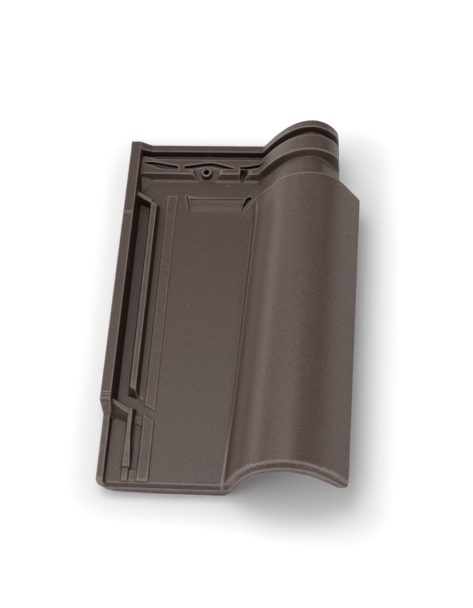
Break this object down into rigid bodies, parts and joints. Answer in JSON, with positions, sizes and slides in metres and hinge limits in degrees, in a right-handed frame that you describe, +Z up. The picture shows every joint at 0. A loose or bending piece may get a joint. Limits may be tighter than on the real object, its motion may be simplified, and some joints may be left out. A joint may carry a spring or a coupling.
{
  "type": "clay roof tile",
  "caption": "Interlocking clay roof tile with a flat pan, one high side roll, raised side and head locks, a foot lip and a hanging nib underneath.",
  "frame": {"origin": "middle of the bounding box, on the level floor the tile lies on", "axes": "+X across the tile from the side lock to the roll, +Y up the slope from foot to head, +Z up, away from the roof"},
  "size_m": [0.275, 0.4346, 0.091],
  "materials": {
    "clay": "satin dark brown engobe, fine grained"
  },
  "bodies": {
    "root": {"roof_tile": "clay"}
  },
  "joints": []
}
